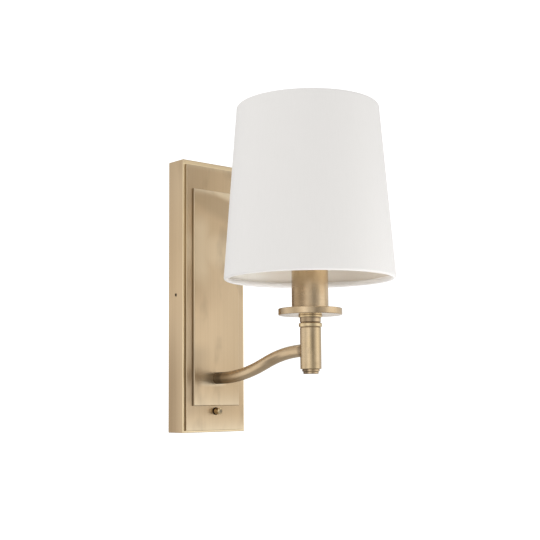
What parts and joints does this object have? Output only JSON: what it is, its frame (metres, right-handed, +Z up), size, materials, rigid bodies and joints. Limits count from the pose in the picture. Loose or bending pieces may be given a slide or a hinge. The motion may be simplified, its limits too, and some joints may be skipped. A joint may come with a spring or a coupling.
{
  "type": "candle wall light",
  "caption": "Wall light with a stepped rectangular back plate, an S-shaped arm, a turned column and candle tube, a tapered fabric shade and a push-button switch.",
  "frame": {"origin": "on the wall plane, at the centre of the back box and of the wall bracket's screw slots", "axes": "+Z up, +Y into the wall, so the light stands out along -Y, +X to the right seen from the room"},
  "size_m": [0.1616, 0.2508, 0.3104],
  "materials": {
    "back_plate_brass": "antique brass, upright brushed grain, lacquered",
    "turned_brass": "antique brass, turned and lacquered, darker in the recesses",
    "raw_brass": "plain machined brass",
    "zinc_steel": "zinc plated sheet and screws",
    "white_wire": "white powder coat",
    "shade_fabric": "white satin weave",
    "shade_lining": "cream translucent lining",
    "black_plastic": "moulded",
    "dark_bush": "blackened bronze",
    "ivory_plastic": "moulded",
    "clear_glass": "clear blown glass",
    "nickel_cap": "nickel plated, rolled",
    "filament_yellow": "phosphor coated sticks",
    "blue_insulation": "flexible sleeve",
    "brown_insulation": "flexible sleeve",
    "earth_insulation": "green and yellow sleeve"
  },
  "bodies": {
    "fixture": {"back_box": "back_plate_brass", "face_plate": "back_plate_brass", "raised_panel": "back_plate_brass", "side_screws": "back_plate_brass", "arm": "turned_brass", "column": "turned_brass", "finial": "turned_brass", "bead_ring": "turned_brass", "neck_collar": "turned_brass", "drip_pan": "turned_brass", "candle_tube": "turned_brass", "arm_nipple": "raw_brass", "stem_nipple": "raw_brass", "terminal_poles": "raw_brass", "holder_shell": "raw_brass", "holder_contact": "raw_brass", "switch_tabs": "raw_brass", "earth_tag": "raw_brass", "wall_bracket": "zinc_steel", "earth_screw": "zinc_steel", "terminal_screws": "zinc_steel", "block_screw": "zinc_steel", "panel_studs": "zinc_steel", "stud_washers": "zinc_steel", "stud_nuts": "zinc_steel", "arm_washer": "zinc_steel", "arm_nut": "zinc_steel", "stem_nut": "zinc_steel", "switch_nut": "zinc_steel", "shade_frame": "white_wire", "shade_bottom_ring": "white_wire", "shade_cover": "shade_fabric", "shade_liner": "shade_lining", "holder_cap": "black_plastic", "holder_body": "black_plastic", "shade_ring": "black_plastic", "switch_housing": "black_plastic", "switch_base": "black_plastic", "switch_bush": "dark_bush", "terminal_block": "ivory_plastic", "bulb_glass": "clear_glass", "bulb_cap": "nickel_cap", "bulb_filaments": "filament_yellow", "neutral_lead": "blue_insulation", "live_lead": "brown_insulation", "switched_lead": "brown_insulation", "earth_lead": "earth_insulation"},
    "button": {"switch_button": "turned_brass", "switch_plunger": "ivory_plastic"}
  },
  "joints": [
    {"name": "button_press", "type": "slide", "parent": "fixture", "child": "button", "axis": [0, 1, 0], "range_m": [0, 0.003], "stiffness_N_per_m": 500, "springref_m": -0.002}
  ]
}
